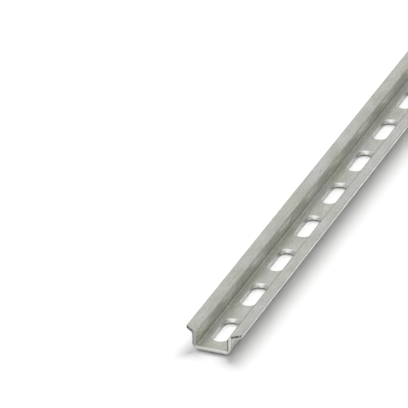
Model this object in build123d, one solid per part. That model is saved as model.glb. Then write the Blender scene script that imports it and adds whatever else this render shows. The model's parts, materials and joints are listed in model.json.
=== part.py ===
from build123d import *
import os

# Perforated top-hat mounting rail, small size: 15 mm wide and 5.5 mm high, roll formed in one piece
# from 1 mm zinc-plated steel strip and cropped to a one metre stock length. Dimensions in millimetres.
#
# The rail lies on the underside of its base. X runs along the rail, Y across it and Z up. The origin
# is at the middle of the underside.

# --- Driving dimensions ---
RAIL_LENGTH = 1000.0
RAIL_WIDTH = 15.0  # over the two flange edges, which terminal blocks and relays clip to
RAIL_HEIGHT = 5.5
HAT_WIDTH = 10.5  # over the outer faces of the two webs
SHEET = 1.0

BASE_BEND_INSIDE = 0.4  # where the base turns up into a web; the rolls press its inside nearly sharp
BASE_BEND_OUTSIDE = 1.8  # rounder than inside radius plus sheet, so the strip is a little thinner there
FLANGE_BEND_INSIDE = 0.4  # inside radius where a web turns out into its flange
SLIT_EDGE_RADIUS = 0.08  # rounding of the strip's slit edges, at the flange tips

SLOT_LENGTH = 12.2  # overall, with full-round ends
SLOT_WIDTH = 4.2  # clears an M4 screw
SLOT_PITCH = 20.0  # the first and last slots lie half a pitch from the ends of the rail

CLIPPED_CORNER_LENGTH = 1.75  # how far a flange tip stands back from the cropped end

# --- Worked out from them ---
slot_count = round(RAIL_LENGTH / SLOT_PITCH)
flange_bend_outside = FLANGE_BEND_INSIDE + SHEET


def strip_face(web: float, base: float, flange: float, base_bend: float, flange_bend: float) -> Wire:
    """One face of the bent strip, from flange tip to flange tip, with tangent bends.

    web is the offset of its upright stretches from the middle; base and flange are its heights.
    """
    right_half = [(web, base), (web, flange), (RAIL_WIDTH / 2, flange)]
    left_half = [(-y, z) for y, z in reversed(right_half)]
    return FilletPolyline(*left_half, *right_half, radius=[flange_bend, base_bend, base_bend, flange_bend])


def hat_section() -> Sketch:
    """The strip's cross-section: its underside and channel faces, closed by the rounded slit edges."""
    flange_underside = RAIL_HEIGHT - SHEET
    with BuildSketch(Plane.YZ) as section:
        with BuildLine():
            strip_face(HAT_WIDTH / 2, 0, flange_underside, BASE_BEND_OUTSIDE, FLANGE_BEND_INSIDE)
            strip_face(HAT_WIDTH / 2 - SHEET, SHEET, RAIL_HEIGHT, BASE_BEND_INSIDE, flange_bend_outside)
            for tip in (-RAIL_WIDTH / 2, RAIL_WIDTH / 2):
                Line((tip, flange_underside), (tip, RAIL_HEIGHT))
        make_face()
        tip_corners = section.vertices().filter_by(lambda v: abs(abs(v.Y) - RAIL_WIDTH / 2) < SHEET / 100)
        fillet(tip_corners, radius=SLIT_EDGE_RADIUS)
    return section.sketch


def slot_row() -> Sketch:
    """Outlines of the punched slots, one every pitch along the middle of the base."""
    with BuildSketch() as slots:
        with GridLocations(SLOT_PITCH, 0, slot_count, 1):
            SlotOverall(SLOT_LENGTH, SLOT_WIDTH)
    return slots.sketch


def clipped_corners() -> Sketch:
    """Outlines of the four triangles that the crop takes off the flange corners."""
    end = RAIL_LENGTH / 2
    with BuildSketch(Plane.XY.offset(RAIL_HEIGHT)) as corners:
        with BuildLine():
            Polyline(
                (end, HAT_WIDTH / 2),
                (end, RAIL_WIDTH / 2),
                (end - CLIPPED_CORNER_LENGTH, RAIL_WIDTH / 2),
                close=True,
            )
        make_face()
        mirror(about=Plane.XZ)
        mirror(about=Plane.YZ)
    return corners.sketch


def build_rail() -> Part:
    """The whole rail: section run along X, slots punched through the base, corners clipped."""
    rail = extrude(hat_section(), amount=RAIL_LENGTH / 2, dir=(1, 0, 0), both=True)
    rail -= extrude(slot_row(), amount=SHEET, dir=(0, 0, 1))
    rail -= extrude(clipped_corners(), amount=SHEET, dir=(0, 0, -1))
    return rail


os.makedirs("parts", exist_ok=True)
export_step(build_rail(), "parts/rail.step")
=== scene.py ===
"""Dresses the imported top-hat mounting rail for its studio view.

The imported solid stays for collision, and one finished rail stands for it. The rail is a strip of steel
roll formed to a hat section. It is modelled one slot pitch at a time, with round bends and punched slots,
joined to its full length, and closed by a cropped end on each side.
"""

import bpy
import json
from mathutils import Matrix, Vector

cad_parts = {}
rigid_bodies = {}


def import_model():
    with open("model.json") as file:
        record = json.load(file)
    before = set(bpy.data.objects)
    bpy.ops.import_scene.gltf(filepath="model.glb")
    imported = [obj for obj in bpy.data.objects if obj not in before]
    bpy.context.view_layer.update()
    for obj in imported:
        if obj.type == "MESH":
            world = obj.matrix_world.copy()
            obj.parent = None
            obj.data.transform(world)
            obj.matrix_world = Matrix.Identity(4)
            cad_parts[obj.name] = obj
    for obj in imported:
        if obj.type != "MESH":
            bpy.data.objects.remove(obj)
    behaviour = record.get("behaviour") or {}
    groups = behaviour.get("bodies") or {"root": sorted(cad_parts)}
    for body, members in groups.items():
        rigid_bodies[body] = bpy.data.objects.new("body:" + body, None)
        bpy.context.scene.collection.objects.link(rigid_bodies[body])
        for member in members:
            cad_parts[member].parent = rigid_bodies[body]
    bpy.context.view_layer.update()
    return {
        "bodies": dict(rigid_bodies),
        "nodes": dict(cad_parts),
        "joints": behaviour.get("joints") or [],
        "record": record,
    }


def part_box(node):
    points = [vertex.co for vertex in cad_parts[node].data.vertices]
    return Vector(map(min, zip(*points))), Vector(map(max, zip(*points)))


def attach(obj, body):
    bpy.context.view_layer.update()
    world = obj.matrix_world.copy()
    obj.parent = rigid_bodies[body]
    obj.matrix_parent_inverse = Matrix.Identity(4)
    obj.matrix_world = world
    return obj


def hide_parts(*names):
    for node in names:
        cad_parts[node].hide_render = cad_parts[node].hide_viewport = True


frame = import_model()

import json
import logging
import math
from dataclasses import dataclass
from enum import Enum

import bmesh
import bpy
from mathutils import Matrix, Vector

MM = 0.001
MERGE = 1e-6  # points closer than this are one point
ON_PLANE = 1e-7  # points closer than this to a cut lie on it
THIN = 0.02 * MM  # how far a finish takes to change at a hard border

Socket = bpy.types.NodeSocket
Triple = tuple[float, float, float]
Range = tuple[float, float]

NOISE: Range = (0.3, 0.7)  # where most of a grain's values lie
RISING: Range = (0.0, 1.0)
FALLING: Range = (1.0, 0.0)

log = logging.getLogger("rail")


class Surface(Enum):
    """Material slot that a face of the rail takes its finish from."""

    PLATED = 0
    PUNCHED = 1
    CROPPED = 2
    TORN = 3


class Layers(Enum):
    """How many finer layers a grain holds."""

    FEW = 1.0
    SOME = 2.0
    MANY = 3.0


@dataclass(frozen=True)
class RailSizes:
    """Sizes of the rail in metres."""

    length: float
    width: float
    height: float
    sheet: float
    slot_width: float
    slot_length: float
    pitch: float
    hat_width: float = 10.5 * MM
    base_bend_inside: float = 0.4 * MM
    base_bend_outside: float = 1.8 * MM
    flange_bend_inside: float = 0.4 * MM
    slit_edge: float = 0.08 * MM
    clipped_corner: float = 1.75 * MM

    @classmethod
    def from_frame(cls, packed: dict) -> "RailSizes":
        """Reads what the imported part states: its box, its sheet and its slots.


        Returns:
            The sizes, with the bends and corners at their own values.
        """
        low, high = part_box("rail")
        pairs = [m for m in packed["record"]["mounts"] if m["kind"] == "bolt_pattern"]
        middle_pair = min(pairs, key=lambda m: m["dims"]["spacing_x_mm"])
        dims = middle_pair["dims"]
        return cls(
            length=high.x - low.x,
            width=high.y - low.y,
            height=high.z - low.z,
            sheet=middle_pair["pos_m"][2],
            slot_width=2 * dims["hole_r_mm"] * MM,
            slot_length=dims["slot_length_mm"] * MM,
            pitch=dims["spacing_x_mm"] * MM,
        )

    @property
    def base_flat(self) -> float:
        """Half the width of the base's flat on the channel's side, between its two bends."""
        return self.hat_width / 2 - self.sheet - self.base_bend_inside

    @property
    def underside_flat(self) -> float:
        """Half the width of the base's flat on the underside."""
        return self.hat_width / 2 - self.base_bend_outside


def edges_along_rail(mesh: bmesh.types.BMesh, y: float, z: float) -> list[bmesh.types.BMEdge]:
    """Finds the edges that run along the rail at one place of its section.

    Args:
        mesh: The mesh to search.
        y: How far across the rail, either way.
        z: Height above the underside.

    Returns:
        The edges on both sides of the rail.
    """
    return [
        edge
        for edge in mesh.edges
        if all(abs(abs(v.co.y) - y) < MERGE and abs(v.co.z - z) < MERGE for v in edge.verts)
        and abs(edge.verts[0].co.x - edge.verts[1].co.x) > MERGE
    ]


def only(kind: type, made: list) -> list:
    """Picks the vertices, edges or faces out of what an operator made."""
    return [item for item in made if isinstance(item, kind)]


@dataclass
class SlotPunch:
    """One slot, punched from the underside: drawn in below, sheared upright, then broken out and flared.

    Above break_height the wall leans outwards by flare, and its top stands off_centre by that much.
    """

    sizes: RailSizes
    rim: float = 0.04 * MM
    break_height: float = 0.15 * MM
    flare: float = 0.15 * MM
    off_centre: tuple[float, float] = (0.40 * MM, 0.05 * MM)
    rim_steps: int = 2
    end_steps: int = 16

    def wall_profile(self, mesh: bmesh.types.BMesh) -> list[bmesh.types.BMEdge]:
        """Makes the wall's upright profile beside the middle of the slot's right-hand end.

        Args:
            mesh: The mesh that takes the profile.

        Returns:
            The profile's edges, from the rim down to the underside.
        """
        s = self.sizes
        end_middle = (s.slot_length - s.slot_width) / 2
        wall = -s.slot_width / 2
        flared = wall - self.flare
        start = mesh.verts.new((end_middle, flared - self.rim, s.sheet))
        rim = bmesh.ops.spin(
            mesh,
            geom=[start],
            cent=(end_middle, flared - self.rim, s.sheet - self.rim),
            axis=(-1, 0, 0),
            angle=math.pi / 2,
            steps=self.rim_steps,
        )
        last = only(bmesh.types.BMVert, rim["geom_last"])[0]
        for y, z in ((wall, self.break_height), (wall, self.rim), (wall - self.rim, 0.0)):
            grown = bmesh.ops.extrude_vert_indiv(mesh, verts=[last])
            last = grown["verts"][0]
            last.co = (end_middle, y, z)
        return list(mesh.edges)

    def lean_over(self, mesh: bmesh.types.BMesh) -> None:
        """Moves the broken-out top over, because the punch stood off the middle of its die.

        Args:
            mesh: The slot's wall.
        """
        broken = self.sizes.sheet - self.break_height
        for vert in mesh.verts:
            share = max(0.0, (vert.co.z - self.break_height) / broken)
            vert.co.x += share * self.off_centre[0]
            vert.co.y += share * self.off_centre[1]

    def build(self) -> bmesh.types.BMesh:
        """Carries the wall's profile round the slot.

        Returns:
            A mesh of the slot's wall, open at the top and at the underside.
        """
        mesh = bmesh.new()
        sweep = self.wall_profile(mesh)
        straight = self.sizes.slot_length - self.sizes.slot_width
        for side in (1, -1):
            turned = bmesh.ops.spin(
                mesh,
                geom=sweep,
                cent=(side * straight / 2, 0, 0),
                axis=(0, 0, 1),
                angle=math.pi,
                steps=self.end_steps,
            )
            ends = only(bmesh.types.BMEdge, turned["geom_last"])
            run = bmesh.ops.extrude_edge_only(mesh, edges=ends)
            moved = only(bmesh.types.BMVert, run["geom"])
            bmesh.ops.translate(mesh, verts=moved, vec=(-side * straight, 0, 0))
            sweep = only(bmesh.types.BMEdge, run["geom"])
        bmesh.ops.remove_doubles(mesh, verts=mesh.verts, dist=MERGE)
        self.lean_over(mesh)
        bmesh.ops.recalc_face_normals(mesh, faces=mesh.faces)
        return mesh


@dataclass
class StripPitch:
    """One pitch of the bent strip, with its slot punched in the middle of the base."""

    sizes: RailSizes
    punch: SlotPunch
    bend_steps: int = 9
    slit_steps: int = 3

    def bent_strip(self) -> bmesh.types.BMesh:
        """Bends one pitch of strip: sharp corners first, then the radius of each bend.

        Returns:
            A tube of the strip's outside faces, open at both ends.
        """
        s = self.sizes
        half_hat = s.hat_width / 2
        right_side = [
            (half_hat, 0.0),
            (half_hat, s.height - s.sheet),
            (s.width / 2, s.height - s.sheet),
            (s.width / 2, s.height),
            (half_hat - s.sheet, s.height),
            (half_hat - s.sheet, s.sheet),
        ]
        left_side = [(-y, z) for y, z in reversed(right_side)]
        mesh = bmesh.new()
        corners = [mesh.verts.new((-s.pitch / 2, y, z)) for y, z in right_side + left_side]
        section = mesh.faces.new(corners)
        run = bmesh.ops.extrude_face_region(mesh, geom=[section])
        moved = only(bmesh.types.BMVert, run["geom"])
        bmesh.ops.translate(mesh, verts=moved, vec=(s.pitch, 0, 0))
        bends = (
            (half_hat, 0.0, s.base_bend_outside, self.bend_steps),
            (half_hat - s.sheet, s.sheet, s.base_bend_inside, self.bend_steps),
            (half_hat - s.sheet, s.height, s.flange_bend_inside + s.sheet, self.bend_steps),
            (half_hat, s.height - s.sheet, s.flange_bend_inside, self.bend_steps),
            (s.width / 2, s.height - s.sheet, s.slit_edge, self.slit_steps),
            (s.width / 2, s.height, s.slit_edge, self.slit_steps),
        )
        for y, z, radius, steps in bends:
            bmesh.ops.bevel(
                mesh,
                geom=edges_along_rail(mesh, y, z),
                offset=radius,
                offset_type="OFFSET",
                affect="EDGES",
                segments=steps,
                profile=0.5,
                material=-1,
                clamp_overlap=False,
            )
        bmesh.ops.recalc_face_normals(mesh, faces=mesh.faces)
        ends = [face for face in mesh.faces if abs(face.normal.x) > face.normal.yz.length]
        bmesh.ops.delete(mesh, geom=ends, context="FACES_ONLY")
        return mesh

    def lay_flat(self, mesh: bmesh.types.BMesh, z: float, half_width: float, up: int) -> None:
        """Fills a flat of the base between its two bends, round the slot.

        Args:
            mesh: The strip, without the flats of its base, and with the slot's wall.
            z: Height of the flat.
            half_width: Half the flat's width.
            up: 1 where the flat faces up, -1 where it faces down.
        """
        level = [v for v in mesh.verts if abs(v.co.z - z) < MERGE and abs(v.co.y) < half_width + MERGE]
        border = [edge for edge in mesh.edges if edge.is_boundary and all(v in level for v in edge.verts)]
        sides = [v for v in level if abs(abs(v.co.y) - half_width) < MERGE]
        for x in (-self.sizes.pitch / 2, self.sizes.pitch / 2):
            corners = [v for v in sides if abs(v.co.x - x) < MERGE]
            border.append(mesh.edges.get(corners))
        bmesh.ops.triangle_fill(
            mesh, use_beauty=True, use_dissolve=False, edges=border, normal=(0, 0, up)
        )

    def build(self) -> bmesh.types.BMesh:
        """Punches the slot through the bent strip.

        Returns:
            The finished pitch, open at both ends.
        """
        s = self.sizes
        mesh = self.bent_strip()
        flats = [face for face in mesh.faces if abs(face.calc_center_median().y) < MERGE]
        bmesh.ops.delete(mesh, geom=flats, context="FACES_ONLY")
        wall = self.punch.build()
        spare = bpy.data.meshes.new("slot_wall")
        wall.to_mesh(spare)
        wall.free()
        before = set(mesh.faces)
        mesh.from_mesh(spare)
        bpy.data.meshes.remove(spare)
        for face in mesh.faces:
            if face not in before:
                face.material_index = Surface.PUNCHED.value
        for z, half_width, up in ((s.sheet, s.base_flat, 1), (0.0, s.underside_flat, -1)):
            self.lay_flat(mesh, z, half_width, up)
        bmesh.ops.recalc_face_normals(mesh, faces=mesh.faces)
        return mesh


@dataclass
class CroppedEnd:
    """A cropped end of the rail: square across the hat, with both flange corners clipped back.

    The edges round each cut face are rolled over by rim.
    """

    sizes: RailSizes
    rim: float = 0.055 * MM
    clear_of_web: float = 0.01 * MM

    def clip_corner(self, mesh: bmesh.types.BMesh, side: int, across: int) -> list[bmesh.types.BMFace]:
        """Clips one flange corner off, from the web's outside to the flange's edge.

        Args:
            mesh: The rail.
            side: -1 for the low end, 1 for the high end.
            across: 1 for the left-hand flange, -1 for the right-hand one.

        Returns:
            The faces that close the cut, set back by the rim.
        """
        s = self.sizes
        end = side * (s.length / 2 - self.rim)
        corner = Vector((end, across * (s.hat_width / 2 + self.clear_of_web), 0))
        tip = Vector((end - side * s.clipped_corner, across * s.width / 2, 0))
        outward = (tip - corner).cross(Vector((0, 0, side * across))).normalized()
        reach = 2 * s.clipped_corner
        near = [face for face in mesh.faces if any(abs(v.co.x - end) < reach for v in face.verts)]
        edges = dict.fromkeys(edge for face in near for edge in face.edges)
        verts = dict.fromkeys(vert for face in near for vert in face.verts)
        cut = bmesh.ops.bisect_plane(
            mesh,
            geom=[*verts, *edges, *near],
            plane_co=corner,
            plane_no=outward,
            clear_outer=True,
            dist=ON_PLANE,
        )
        rims = [edge for edge in only(bmesh.types.BMEdge, cut["geom_cut"]) if edge.is_boundary]
        return bmesh.ops.edgeloop_fill(mesh, edges=rims)["faces"]

    def close(self, mesh: bmesh.types.BMesh, side: int) -> None:
        """Closes one end of the rail.

        Args:
            mesh: The rail, open at this end.
            side: -1 for the low end, 1 for the high end.
        """
        end = side * self.sizes.length / 2
        set_back = end - side * self.rim
        lip = [vert for vert in mesh.verts if abs(vert.co.x - end) < MERGE]
        bmesh.ops.translate(mesh, verts=lip, vec=(set_back - end, 0, 0))
        border = [edge for edge in mesh.edges if edge.is_boundary and edge.verts[0] in lip]
        bmesh.ops.edgeloop_fill(mesh, edges=border)
        torn = self.clip_corner(mesh, side, 1) + self.clip_corner(mesh, side, -1)
        cropped = [face for face in mesh.faces if all(abs(v.co.x - set_back) < MERGE for v in face.verts)]
        bmesh.ops.recalc_face_normals(mesh, faces=mesh.faces)
        for surface, faces in ((Surface.TORN, torn), (Surface.CROPPED, cropped)):
            for face in faces:
                ring = bmesh.ops.inset_region(
                    mesh,
                    faces=[face],
                    thickness=self.rim,
                    depth=self.rim,
                    use_even_offset=surface is Surface.CROPPED,
                )
                for part in [face, *ring["faces"]]:
                    part.material_index = surface.value
        for vert in mesh.verts:
            if abs(vert.co.x - end) < self.sizes.sheet:
                vert.co.x = side * min(abs(vert.co.x), abs(end))


@dataclass
class MountingRail:
    """The whole rail: pitch after pitch of punched strip between two cropped ends."""

    sizes: RailSizes
    finishes: dict[Surface, bpy.types.Material]
    flats_weight: int = 100

    def build(self) -> bpy.types.Object:
        """Builds the rail as one closed mesh.

        Returns:
            The rail, with its origin at the middle of its underside.
        """
        s = self.sizes
        pitch = StripPitch(s, SlotPunch(s)).build()
        unit = bpy.data.meshes.new("rail_pitch")
        pitch.to_mesh(unit)
        pitch.free()
        mesh = bmesh.new()
        count = round(s.length / s.pitch)
        for index in range(count):
            held = len(mesh.verts)
            mesh.from_mesh(unit)
            mesh.verts.ensure_lookup_table()
            middle = -s.length / 2 + (index + 0.5) * s.pitch
            bmesh.ops.translate(mesh, verts=mesh.verts[held:], vec=(middle, 0, 0))
        bpy.data.meshes.remove(unit)
        bmesh.ops.remove_doubles(mesh, verts=mesh.verts, dist=MERGE)
        end = CroppedEnd(s)
        for side in (-1, 1):
            end.close(mesh, side)
        for face in mesh.faces:
            face.smooth = True
        data = bpy.data.meshes.new("rail_body")
        mesh.to_mesh(data)
        mesh.free()
        for surface in Surface:
            data.materials.append(self.finishes[surface])
        rail = bpy.data.objects.new("rail_body", data)
        bpy.context.scene.collection.objects.link(rail)
        shade = rail.modifiers.new("flats_stay_flat", "WEIGHTED_NORMAL")
        shade.mode = "FACE_AREA"
        shade.weight = self.flats_weight
        shade.keep_sharp = True
        log.info("rail: %d faces, %d slots", len(data.polygons), count)
        return rail


class MetalNodes:
    """Wires one metal finish: patterns on the rail's own coordinates, then colour, roughness and relief."""

    def __init__(self, name: str) -> None:
        """Starts the material as bare metal.

        Args:
            name: The material's name.
        """
        self.material = bpy.data.materials.new(name)
        self.material.use_nodes = True
        self.nodes = self.material.node_tree.nodes
        self.links = self.material.node_tree.links
        self.shader = self.nodes["Principled BSDF"]
        self.shader.inputs["Metallic"].default_value = 1.0
        self.place = self.nodes.new("ShaderNodeTexCoord").outputs["Object"]
        split = self.nodes.new("ShaderNodeSeparateXYZ")
        self.links.new(self.place, split.inputs[0])
        self.along = split.outputs

    def join(self, value: Socket | Triple | float, socket: Socket) -> None:
        """Sets a socket: by a link from another, to a colour, or to a plain number.

        Args:
            value: The other socket, the colour or the number.
            socket: The socket to set.
        """
        if isinstance(value, Socket):
            self.links.new(value, socket)
        elif isinstance(value, tuple):
            socket.default_value = (*value, 1.0)
        else:
            socket.default_value = value

    def grain(self, cell: Triple, layers: Layers = Layers.SOME, turn: float = 0.0) -> Socket:
        """Makes noise with cells of a given size.

        Args:
            cell: Size of one cell along X, Y and Z, in metres.
            layers: How many finer layers the noise holds.
            turn: Angle of the cells about Z.

        Returns:
            The noise, mostly within NOISE.
        """
        laid = self.nodes.new("ShaderNodeMapping")
        laid.vector_type = "TEXTURE"
        laid.inputs["Scale"].default_value = cell
        laid.inputs["Rotation"].default_value = (0, 0, turn)
        self.links.new(self.place, laid.inputs["Vector"])
        noise = self.nodes.new("ShaderNodeTexNoise")
        noise.inputs["Scale"].default_value = 1.0
        noise.inputs["Detail"].default_value = layers.value
        self.links.new(laid.outputs[0], noise.inputs["Vector"])
        return noise.outputs["Fac"]

    def spread(self, value: Socket, taken: Range, given: Range) -> Socket:
        """Maps one range of a value to another, and holds it there.

        Args:
            value: The value to map.
            taken: The range that it comes in.
            given: The range that it leaves in.

        Returns:
            The mapped value.
        """
        node = self.nodes.new("ShaderNodeMapRange")
        self.links.new(value, node.inputs["Value"])
        for name, number in zip(("From Min", "From Max", "To Min", "To Max"), (*taken, *given)):
            node.inputs[name].default_value = number
        return node.outputs["Result"]

    def border(self, value: Socket, at: float, blur: float) -> Socket:
        """Gives 0 below a border and 1 above it, with a blur to either side."""
        return self.spread(value, (at - blur, at + blur), RISING)

    def waver(self, noise: Socket, reach: float) -> Socket:
        """Lets a noise move a border by reach to either side."""
        return self.spread(noise, NOISE, (-reach, reach))

    def combine(self, kind: str, first: Socket | float, second: Socket | float = 0.0) -> Socket:
        """Works out a value from one or two others.

        Args:
            kind: The sum to do, as the Math node names it.
            first: The first value.
            second: The second value, where the sum takes two.

        Returns:
            The value.
        """
        node = self.nodes.new("ShaderNodeMath")
        node.operation = kind
        self.join(first, node.inputs[0])
        self.join(second, node.inputs[1])
        return node.outputs[0]

    def tint(
        self, share: Socket, first: Socket | Triple, second: Socket | Triple, blend: str = "MIX"
    ) -> Socket:
        """Blends two colours.

        Args:
            share: How much of the second colour shows.
            first: The first colour.
            second: The second colour.
            blend: The way of blending.

        Returns:
            The blended colour.
        """
        node = self.nodes.new("ShaderNodeMix")
        node.data_type = "RGBA"
        node.blend_type = blend
        factor, colour_a, colour_b = node.inputs[0], node.inputs[6], node.inputs[7]
        self.join(share, factor)
        self.join(first, colour_a)
        self.join(second, colour_b)
        return node.outputs[2]

    def finish(
        self, colour: Socket, roughness: Socket, reliefs: list[tuple[Socket, float]]
    ) -> bpy.types.Material:
        """Puts the colour, the roughness and the relief on the shader.

        Args:
            colour: The metal's colour.
            roughness: The metal's roughness.
            reliefs: Heights between 0 and 1, each with its depth in metres.

        Returns:
            The finished material.
        """
        self.links.new(colour, self.shader.inputs["Base Color"])
        self.links.new(roughness, self.shader.inputs["Roughness"])
        normal = None
        for height, depth in reliefs:
            bump = self.nodes.new("ShaderNodeBump")
            bump.inputs["Distance"].default_value = depth
            self.links.new(height, bump.inputs["Height"])
            if normal is not None:
                self.links.new(normal, bump.inputs["Normal"])
            normal = bump.outputs["Normal"]
        if normal is not None:
            self.links.new(normal, self.shader.inputs["Normal"])
        return self.material


@dataclass(frozen=True)
class ZincPlate:
    """Satin zinc plate: rolling streaks, clouds, specks and patches of faintly yellow passivation.

    It has painted shade in the creases where the base turns up, and painted light at the feet of the flange
    bends, where stretching also left the plate matt, and on the webs' outsides. The strip's slit edges are
    bright below and dull above.
    """

    sizes: RailSizes
    name: str = "zinc_plate"
    clean: Triple = (0.662, 0.662, 0.628)
    passivated: Triple = (0.617, 0.628, 0.543)
    patch_cell: Triple = (13 * MM, 4.5 * MM, 4.5 * MM)
    patch_border: Range = (0.38, 0.64)
    dulled: Triple = (0.84, 0.84, 0.85)
    cloud_cell: Triple = (5 * MM, 2.2 * MM, 2.2 * MM)
    cloud_share: float = 0.6
    streak_cell: Triple = (24 * MM, 0.35 * MM, 0.35 * MM)
    streak_share: float = 0.4
    streak_depth: float = 0.004 * MM
    speckled: Triple = (0.77, 0.77, 0.78)
    speck_cell: Triple = (0.55 * MM, 0.40 * MM, 0.40 * MM)
    speck_share: float = 0.7
    speck_depth: float = 0.006 * MM
    smear_cell: Triple = (5 * MM, 0.5 * MM, 0.5 * MM)
    smear_turn: float = math.radians(-28)
    smear_share: float = 0.35
    scratch_cell: Triple = (7 * MM, 0.09 * MM, 0.09 * MM)
    scratch_turn: float = math.radians(7)
    scratch_border: Range = (0.66, 0.74)
    scratch_polish: float = 0.1
    scratch_depth: float = 0.003 * MM
    roughness: Range = (0.24, 0.35)
    roughest_clouds: Range = (0.35, 0.65)
    streak_roughness: float = 0.03
    # Painted shade: the base's creases are painted darker.
    crease_painted_shade: Triple = (0.76, 0.76, 0.76)
    crease_border: Range = (0.55 * MM, 0.25 * MM)
    crease_foot: Range = (0.9, 0.95)
    # Painted light: the webs' outsides are painted brighter, up to just under the flanges.
    webs_painted_light: Triple = (1.28, 1.28, 1.28)
    webs_painted_light_top: float = 0.1 * MM
    # Painted light: the feet of the flange bends are painted paler; their added roughness is the plate's
    # own.
    stretched_and_painted_light: Triple = (1.26, 1.26, 1.26)
    stretch_below: float = 0.8 * MM
    stretch_above: Range = (0.65 * MM, 1.2 * MM)
    stretch_inside: Range = (0.6 * MM, 0.9 * MM)
    stretch_matt: float = 0.2
    slit_bright: Triple = (0.88, 0.88, 0.86)
    slit_dull: Triple = (0.38, 0.38, 0.37)
    slit_burnish: float = 0.5
    slit_blur: float = 0.08
    slit_waver: float = 0.1
    slit_depth: float = 0.05 * MM

    def crease_painted_shade_mask(self, metal: MetalNodes, off_middle: Socket) -> Socket:
        """Finds the inside of the two bends where the base turns up, where shade is painted on.

        Args:
            metal: The material that needs it.
            off_middle: How far across the rail a point lies, either way.

        Returns:
            1 in the crease and 0 outside it.
        """
        s = self.sizes
        web = s.hat_width / 2 - s.sheet
        corner = web - s.sheet
        begins, full = self.crease_border
        foot_low, foot_high = self.crease_foot
        into = metal.combine("SUBTRACT", off_middle, metal.along["Z"])
        near = metal.spread(into, (corner - begins, corner - full), RISING)
        inside = metal.spread(off_middle, (web + THIN, web + 2 * THIN), FALLING)
        above = metal.spread(metal.along["Z"], (foot_low * s.sheet, foot_high * s.sheet), RISING)
        return metal.combine("MULTIPLY", near, metal.combine("MULTIPLY", inside, above))

    def webs_painted_light_mask(self, metal: MetalNodes, off_middle: Socket) -> Socket:
        """Finds the webs' outsides, where light is painted on.

        Args:
            metal: The material that needs it.
            off_middle: How far across the rail a point lies, either way.

        Returns:
            1 where it is rubbed and 0 elsewhere.
        """
        s = self.sizes
        web = s.hat_width / 2
        flange = s.height - s.sheet
        outside = metal.spread(off_middle, (web - 2 * THIN, web - THIN), RISING)
        under_flange = metal.spread(metal.along["Z"], (flange - self.webs_painted_light_top, flange - THIN), FALLING)
        return metal.combine("MULTIPLY", outside, under_flange)

    def stretch_and_painted_light_mask(self, metal: MetalNodes, off_middle: Socket) -> Socket:
        """Finds the feet of the flange bends on the channel's side, where stretching left the plate matt
        and light is painted on.

        Args:
            metal: The material that needs it.
            off_middle: How far across the rail a point lies, either way.

        Returns:
            1 where it is stretched and 0 elsewhere.
        """
        s = self.sizes
        web = s.hat_width / 2 - s.sheet
        foot = s.height - s.sheet - s.flange_bend_inside
        fades, gone = self.stretch_above
        full, outside = self.stretch_inside
        rise = metal.spread(metal.along["Z"], (foot - self.stretch_below, foot), RISING)
        fall = metal.spread(metal.along["Z"], (foot + fades, foot + gone), FALLING)
        channel_side = metal.spread(off_middle, (web + full, web + outside), FALLING)
        return metal.combine("MULTIPLY", channel_side, metal.combine("MULTIPLY", rise, fall))

    def slit_edges(self, metal: MetalNodes, off_middle: Socket, clouds: Socket, colour: Socket) -> Socket:
        """Colours the slit edges: sheared bright below, and torn dull above.

        Args:
            metal: The material that needs it.
            off_middle: How far across the rail a point lies, either way.
            clouds: Noise that makes the border between the two bands waver.
            colour: The plate's colour.

        Returns:
            The plate's colour with the slit edges' own.
        """
        s = self.sizes
        edge = s.width / 2
        slit = metal.spread(off_middle, (edge - self.slit_depth, edge - THIN), RISING)
        above_flange = metal.combine("SUBTRACT", metal.along["Z"], s.height - s.sheet)
        height = metal.combine("DIVIDE", above_flange, s.sheet)
        ragged = metal.combine("ADD", height, metal.waver(clouds, self.slit_waver))
        torn = metal.border(ragged, self.slit_burnish, self.slit_blur)
        return metal.tint(slit, colour, metal.tint(torn, self.slit_bright, self.slit_dull))

    def build(self) -> bpy.types.Material:
        """Makes the material's nodes.

        Returns:
            The material.
        """
        metal = MetalNodes(self.name)
        patches = metal.grain(self.patch_cell)
        clouds = metal.grain(self.cloud_cell, Layers.MANY)
        streaks = metal.grain(self.streak_cell, Layers.MANY)
        specks = metal.grain(self.speck_cell, Layers.FEW)
        smears = metal.grain(self.smear_cell, Layers.FEW, self.smear_turn)
        scratches = metal.grain(self.scratch_cell, Layers.FEW, self.scratch_turn)
        off_middle = metal.combine("ABSOLUTE", metal.along["Y"])

        colour = metal.tint(metal.spread(patches, self.patch_border, RISING), self.clean, self.passivated)
        cloudy = metal.spread(clouds, NOISE, (0, self.cloud_share))
        streaky = metal.spread(streaks, NOISE, (0, self.streak_share))
        colour = metal.tint(metal.combine("ADD", cloudy, streaky), colour, self.dulled, "MULTIPLY")
        speckle = metal.spread(specks, NOISE, (0, self.speck_share))
        smeared = metal.spread(smears, NOISE, (0, self.smear_share))
        colour = metal.tint(metal.combine("ADD", speckle, smeared), colour, self.speckled, "MULTIPLY")
        stretched_and_painted_light = self.stretch_and_painted_light_mask(metal, off_middle)
        # Painted light on the webs' outsides.
        colour = metal.tint(self.webs_painted_light_mask(metal, off_middle), colour, self.webs_painted_light, "MULTIPLY")
        # Painted light at the feet of the flange bends.
        colour = metal.tint(stretched_and_painted_light, colour, self.stretched_and_painted_light, "MULTIPLY")
        # Painted shade in the base's creases.
        colour = metal.tint(self.crease_painted_shade_mask(metal, off_middle), colour, self.crease_painted_shade, "MULTIPLY")
        colour = self.slit_edges(metal, off_middle, clouds, colour)

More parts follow.
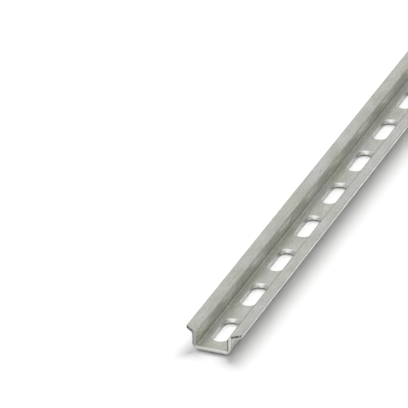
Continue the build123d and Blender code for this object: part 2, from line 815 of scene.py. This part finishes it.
        scored = metal.spread(scratches, self.scratch_border, RISING)
        satin = metal.spread(clouds, self.roughest_clouds, self.roughness)
        roughness = metal.combine("ADD", satin, metal.waver(streaks, self.streak_roughness))
        polished = metal.spread(scored, RISING, (0, self.scratch_polish))
        roughness = metal.combine("SUBTRACT", roughness, polished)
        matt = metal.spread(stretched_and_painted_light, RISING, (0, self.stretch_matt))
        roughness = metal.combine("ADD", roughness, matt)
        reliefs = [
            (streaks, self.streak_depth),
            (specks, self.speck_depth),
            (scored, -self.scratch_depth),
        ]
        return metal.finish(colour, roughness, reliefs)


@dataclass(frozen=True)
class PunchedWall:
    """Wall of a punched slot: sheared smooth near the underside, and broken out matt and grainy above.

    The round ends are painted brighter than the straight sides, as painted light. Heights are shares of the
    sheet.
    """

    sizes: RailSizes
    name: str = "punched_wall"
    # Painted light: the round ends are painted near white.
    round_end_painted_light: Triple = (0.98, 0.98, 0.96)
    straight_side: Triple = (0.64, 0.64, 0.62)
    side_border: Range = (0.8, 1.0)
    shear_height: float = 0.15
    shear_blur: float = 0.05
    shear_waver: float = 0.08
    crumbled: Triple = (0.86, 0.86, 0.86)
    crumb_cell: Triple = (0.2 * MM, 0.2 * MM, 0.12 * MM)
    crumb_border: Range = (0.45, 0.75)
    crumb_depth: float = 0.008 * MM
    drag_cell: Triple = (0.14 * MM, 0.14 * MM, 2.5 * MM)
    drag_depth: float = 0.004 * MM
    roughness: Range = (0.30, 0.38)
    broken_matt: float = 0.05

    def build(self) -> bpy.types.Material:
        """Makes the material's nodes.

        Returns:
            The material.
        """
        s = self.sizes
        metal = MetalNodes(self.name)
        drag = metal.grain(self.drag_cell)
        crumble = metal.grain(self.crumb_cell, Layers.MANY)
        side = metal.combine("DIVIDE", metal.combine("ABSOLUTE", metal.along["Y"]), s.slot_width / 2)
        # Painted light on the round ends.
        straight = metal.spread(side, self.side_border, RISING)
        colour = metal.tint(straight, self.round_end_painted_light, self.straight_side)
        height = metal.combine("DIVIDE", metal.along["Z"], s.sheet)
        ragged = metal.combine("ADD", height, metal.waver(drag, self.shear_waver))
        above = metal.border(ragged, self.shear_height, self.shear_blur)
        crumbs = metal.combine("MULTIPLY", above, metal.spread(crumble, self.crumb_border, RISING))
        colour = metal.tint(crumbs, colour, self.crumbled, "MULTIPLY")
        matt = metal.spread(above, RISING, (0, self.broken_matt))
        roughness = metal.combine("ADD", metal.spread(crumble, NOISE, self.roughness), matt)
        pits = metal.combine("MULTIPLY", crumble, above)
        return metal.finish(colour, roughness, [(drag, self.drag_depth), (pits, self.crumb_depth)])


@dataclass(frozen=True)
class CroppedFace:
    """Cropped end of the hat: bright where the blade entered, grey where it tore, and a dark line of
    painted shade along the edge opposite its entry.

    The blade came down slantwise, so it entered by the channel's side, but by the right-hand web's outside.
    The left-hand web, which it met last, is grey all over. Depths in the sheet are shares of it.
    """

    sizes: RailSizes
    name: str = "cropped_face"
    burnished: Triple = (0.88, 0.88, 0.86)
    torn: Triple = (0.76, 0.76, 0.74)
    # Painted shade: a dark line along the edge opposite the blade's entry.
    outer_edge_painted_shade: Triple = (0.10, 0.10, 0.097)
    met_first: Triple = (0.80, 0.80, 0.80)
    met_last: Triple = (0.50, 0.50, 0.51)
    entry: float = 0.45
    entry_blur: float = 0.08
    exit: float = 0.94
    exit_blur: float = 0.04
    early_exit: float = 0.16
    waver: float = 0.1
    ripple_cell: Triple = (0.5 * MM, 0.5 * MM, 0.5 * MM)
    crumb_cell: Triple = (0.15 * MM, 0.15 * MM, 0.15 * MM)
    crumb_depth: float = 0.008 * MM
    pit_depth: float = 0.03 * MM
    roughness: Range = (0.36, 0.46)
    torn_matt: float = 0.2
    web_foot: float = 0.5

    def depth_from_channel(self, metal: MetalNodes) -> Socket:
        """Measures how deep in the sheet a point of the section lies, from the channel's side.

        Args:
            metal: The material that needs it.

        Returns:
            The depth, 0 at the channel and 1 on the outside.
        """
        s = self.sizes
        off_middle = metal.combine("ABSOLUTE", metal.along["Y"])
        across = metal.combine("SUBTRACT", off_middle, s.base_flat)
        below = metal.combine("SUBTRACT", s.sheet + s.base_bend_inside, metal.along["Z"])
        flat = metal.combine("MAXIMUM", across, below)
        squares = [
            metal.combine("POWER", metal.combine("MAXIMUM", leg, 0.0), 2.0) for leg in (across, below)
        ]
        bent = metal.combine("SQRT", metal.combine("ADD", *squares))
        reach = metal.combine("MAXIMUM", metal.combine("MINIMUM", flat, 0.0), bent)
        return metal.combine("DIVIDE", metal.combine("SUBTRACT", reach, s.base_bend_inside), s.sheet)

    def web_mask(self, metal: MetalNodes, side: int) -> Socket:
        """Finds the end of one web.

        Args:
            metal: The material that needs it.
            side: 1 for the left-hand web, -1 for the right-hand one.

        Returns:
            1 on the web and 0 on the base.
        """
        s = self.sizes
        web = s.base_flat + s.base_bend_inside
        across = metal.spread(metal.along["Y"], (side * s.base_flat, side * web), RISING)
        foot = (self.web_foot * s.sheet, s.sheet + s.base_bend_inside)
        up = metal.spread(metal.along["Z"], foot, RISING)
        return metal.combine("MULTIPLY", across, up)

    def build(self) -> bpy.types.Material:
        """Makes the material's nodes.

        Returns:
            The material.
        """
        metal = MetalNodes(self.name)
        ripple = metal.grain(self.ripple_cell)
        crumble = metal.grain(self.crumb_cell, Layers.MANY)
        left_web, right_web = self.web_mask(metal, 1), self.web_mask(metal, -1)
        from_channel = self.depth_from_channel(metal)
        from_outside = metal.combine("SUBTRACT", 1.0, from_channel)
        turned = metal.combine("MULTIPLY", right_web, metal.combine("SUBTRACT", from_outside, from_channel))
        even_depth = metal.combine("ADD", from_channel, turned)
        depth = metal.combine("ADD", even_depth, metal.waver(ripple, self.waver))
        torn = metal.border(depth, self.entry, self.entry_blur)
        colour = metal.tint(torn, self.burnished, self.torn)
        colour = metal.tint(right_web, colour, self.met_first, "MULTIPLY")
        # Painted shade: a dark line along the edge opposite the blade's entry, wider on the right-hand web.
        painted_shade_reach = metal.combine("ADD", depth, metal.spread(right_web, RISING, (0, self.early_exit)))
        colour = metal.tint(metal.border(painted_shade_reach, self.exit, self.exit_blur), colour, self.outer_edge_painted_shade)
        colour = metal.tint(left_web, colour, self.met_last, "MULTIPLY")
        matt = metal.spread(torn, RISING, (0, self.torn_matt))
        roughness = metal.combine("ADD", metal.spread(crumble, NOISE, self.roughness), matt)
        pits = metal.combine("MULTIPLY", crumble, torn)
        return metal.finish(colour, roughness, [(crumble, self.crumb_depth), (pits, self.pit_depth)])


@dataclass(frozen=True)
class TornCorner:
    """Clipped flange corner: a dark torn edge along the top, over the band by which the blade came in.

    Heights in the flange are shares of the sheet.
    """

    sizes: RailSizes
    name: str = "torn_corner"
    burnished: Triple = (0.62, 0.62, 0.60)
    dark: Triple = (0.07, 0.07, 0.068)
    flats: Triple = (0.50, 0.50, 0.49)
    entry_right: float = 0.42
    entry_left: float = 0.16
    entry_blur: float = 0.06
    waver: float = 0.12
    break_cell: Triple = (0.32 * MM, 0.32 * MM, 0.32 * MM)
    break_border: Range = (0.53, 0.61)
    break_depth: float = 0.06 * MM
    crumb_cell: Triple = (0.12 * MM, 0.12 * MM, 0.12 * MM)
    crumb_depth: float = 0.03 * MM
    roughness: Range = (0.5, 0.7)

    def build(self) -> bpy.types.Material:
        """Makes the material's nodes.

        Returns:
            The material.
        """
        s = self.sizes
        metal = MetalNodes(self.name)
        breaks = metal.grain(self.break_cell, Layers.FEW)
        crumble = metal.grain(self.crumb_cell, Layers.MANY)
        torn = metal.tint(metal.spread(breaks, self.break_border, RISING), self.dark, self.flats)
        above_flange = metal.combine("SUBTRACT", metal.along["Z"], s.height - s.sheet)
        height = metal.combine("DIVIDE", above_flange, s.sheet)
        ragged = metal.combine("ADD", height, metal.waver(breaks, self.waver))
        entry = metal.spread(metal.along["Y"], (-MM, MM), (self.entry_right, self.entry_left))
        past = metal.border(metal.combine("SUBTRACT", ragged, entry), 0.0, self.entry_blur)
        colour = metal.tint(past, self.burnished, torn)
        roughness = metal.spread(crumble, NOISE, self.roughness)
        return metal.finish(colour, roughness, [(breaks, self.break_depth), (crumble, self.crumb_depth)])


@dataclass(frozen=True)
class ViewingAngle:
    """Where the camera stands and what it looks at."""

    elevation: float = math.radians(28.067)
    turn: float = math.radians(21.474)
    distance: float = 1.4114
    lens: float = 466.62
    beyond_end: float = 73.605 * MM
    beside_rail: float = 30.987 * MM
    sees_to: float = 20.0

    def build(self, sizes: RailSizes) -> bpy.types.Object:
        """Makes the camera.

        Args:
            sizes: Sizes of the rail that it looks along.

        Returns:
            The camera.
        """
        forward = Vector((
            math.cos(self.elevation) * math.cos(self.turn),
            math.cos(self.elevation) * math.sin(self.turn),
            -math.sin(self.elevation),
        ))
        right = Vector((math.sin(self.turn), -math.cos(self.turn), 0))
        up = right.cross(forward)
        aim = Vector((-sizes.length / 2 + self.beyond_end, self.beside_rail, 0))
        data = bpy.data.cameras.new("camera")
        data.lens = self.lens
        data.clip_end = self.sees_to
        camera = bpy.data.objects.new("camera", data)
        turned = Matrix((right, up, -forward)).transposed().to_4x4()
        camera.matrix_world = Matrix.Translation(aim - forward * self.distance) @ turned
        bpy.context.scene.collection.objects.link(camera)
        bpy.context.scene.camera = camera
        return camera


@dataclass(frozen=True)
class BroadLamp:
    """A broad far lamp behind the rail. The metal shows the backdrop in its place."""

    azimuth: float = math.radians(8)
    elevation: float = math.radians(31)
    breadth: float = math.radians(60)
    floor_share: float = 0.76

    def build(self) -> bpy.types.Object:
        """Makes the lamp.

        Returns:
            The lamp, which lights a white floor to its share of full white.
        """
        data = bpy.data.lights.new("broad_lamp", "SUN")
        data.angle = self.breadth
        data.energy = math.pi * self.floor_share / math.sin(self.elevation)
        lamp = bpy.data.objects.new("broad_lamp", data)
        towards = Vector((
            math.cos(self.elevation) * math.cos(self.azimuth),
            math.cos(self.elevation) * math.sin(self.azimuth),
            math.sin(self.elevation),
        ))
        turned = towards.to_track_quat("Z", "Y").to_matrix().to_4x4()
        lamp.matrix_world = Matrix.Translation(towards) @ turned
        lamp.visible_glossy = False
        bpy.context.scene.collection.objects.link(lamp)
        return lamp


def seen_rays(nodes: bpy.types.Nodes, links: bpy.types.NodeLinks) -> Socket:
    """Tells the rays that see a surface, by eye or in a reflection, from those that carry its light.

    Args:
        nodes: The nodes of the tree that needs it.
        links: The links of that tree.

    Returns:
        1 for camera, glossy and transmission rays, and 0 for the rest.
    """
    path = nodes.new("ShaderNodeLightPath")
    seen = path.outputs["Is Camera Ray"]
    for ray in ("Is Glossy Ray", "Is Transmission Ray"):
        either = nodes.new("ShaderNodeMath")
        either.operation = "MAXIMUM"
        links.new(seen, either.inputs[0])
        links.new(path.outputs[ray], either.inputs[1])
        seen = either.outputs[0]
    return seen


@dataclass(frozen=True)
class Surroundings:
    """A dim sky that lights the floor, and the pale backdrop that the eye and the metal see in its place.

    Both are brighter in front, on the left.
    """

    sky: float = 0.3
    sky_lean: float = 0.7
    backdrop: float = 0.98
    backdrop_lean: float = 0.12
    bright_side: float = math.radians(134)

    def graded(
        self, nodes: bpy.types.Nodes, links: bpy.types.NodeLinks, level: float, lean: float
    ) -> Socket:
        """Makes a background that grows brighter towards one side.

        Args:
            nodes: The world's nodes.
            links: The world's links.
            level: Brightness overhead.
            lean: Share of it that the bright side gains at the horizon and the far side loses.

        Returns:
            The background's shader output.
        """
        direction = nodes.new("ShaderNodeTexCoord").outputs["Generated"]
        towards = Vector((math.cos(self.bright_side), math.sin(self.bright_side), 0))
        gain = nodes.new("ShaderNodeVectorMath")
        gain.operation = "DOT_PRODUCT"
        gain.inputs[1].default_value = level * lean * towards
        links.new(direction, gain.inputs[0])
        total = nodes.new("ShaderNodeMath")
        total.operation = "ADD"
        total.inputs[0].default_value = level
        links.new(gain.outputs["Value"], total.inputs[1])
        background = nodes.new("ShaderNodeBackground")
        background.inputs["Color"].default_value = (1, 1, 1, 1)
        links.new(total.outputs[0], background.inputs["Strength"])
        return background.outputs[0]

    def build(self) -> bpy.types.World:
        """Makes the world and sets it.

        Returns:
            The world.
        """
        world = bpy.data.worlds.new("pale_surroundings")
        world.use_nodes = True
        nodes = world.node_tree.nodes
        links = world.node_tree.links
        nodes.clear()
        mix = nodes.new("ShaderNodeMixShader")
        links.new(seen_rays(nodes, links), mix.inputs[0])
        links.new(self.graded(nodes, links, self.sky, self.sky_lean), mix.inputs[1])
        links.new(self.graded(nodes, links, self.backdrop, self.backdrop_lean), mix.inputs[2])
        out = nodes.new("ShaderNodeOutputWorld")
        links.new(mix.outputs[0], out.inputs["Surface"])
        bpy.context.scene.world = world
        return world


@dataclass(frozen=True)
class Studio:
    """A white floor that keeps the rail's shadow, under pale surroundings and a broad lamp.

    The floor lies a hair below the rail, so that a thin line of shadow runs under its edges.
    """

    floor_size: float = 8.0
    floor_drop: float = 0.24 * MM
    floor_paint: float = 0.8
    floor_seen: float = 1.07
    lamp: BroadLamp = BroadLamp()
    surroundings: Surroundings = Surroundings()

    def floor_material(self) -> bpy.types.Material:
        """Makes the floor's paint, which the eye and the metal see a little brighter, shadow and all.

        Returns:
            The material.
        """
        material = bpy.data.materials.new("white_floor")
        material.use_nodes = True
        nodes = material.node_tree.nodes
        links = material.node_tree.links
        nodes.clear()
        out = nodes.new("ShaderNodeOutputMaterial")
        mix = nodes.new("ShaderNodeMixShader")
        links.new(mix.outputs[0], out.inputs["Surface"])
        for slot, level in ((1, self.floor_paint), (2, self.floor_seen)):
            paint = nodes.new("ShaderNodeBsdfDiffuse")
            paint.inputs["Color"].default_value = (level, level, level, 1)
            links.new(paint.outputs[0], mix.inputs[slot])
        links.new(seen_rays(nodes, links), mix.inputs[0])
        return material

    def build(self) -> None:
        """Sets the floor, the surroundings and the lamp."""
        mesh = bmesh.new()
        bmesh.ops.create_grid(mesh, x_segments=1, y_segments=1, size=self.floor_size / 2)
        bmesh.ops.translate(mesh, verts=mesh.verts, vec=(0, 0, -self.floor_drop))
        data = bpy.data.meshes.new("floor")
        mesh.to_mesh(data)
        mesh.free()
        data.materials.append(self.floor_material())
        floor = bpy.data.objects.new("floor", data)
        bpy.context.scene.collection.objects.link(floor)
        self.surroundings.build()
        self.lamp.build()


def main() -> None:
    """Builds the rail, its finishes and its studio, and reports each piece."""
    logging.basicConfig(level=logging.INFO, format="%(message)s")
    sizes = RailSizes.from_frame(frame)
    finishes = {
        Surface.PLATED: ZincPlate(sizes).build(),
        Surface.PUNCHED: PunchedWall(sizes).build(),
        Surface.CROPPED: CroppedFace(sizes).build(),
        Surface.TORN: TornCorner(sizes).build(),
    }
    rail = MountingRail(sizes, finishes).build()
    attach(rail, "root")
    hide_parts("rail")
    Studio().build()
    ViewingAngle().build(sizes)
    bpy.context.scene.view_settings.view_transform = "Standard"
    bpy.context.view_layer.update()


if __name__ == "__main__":
    main()
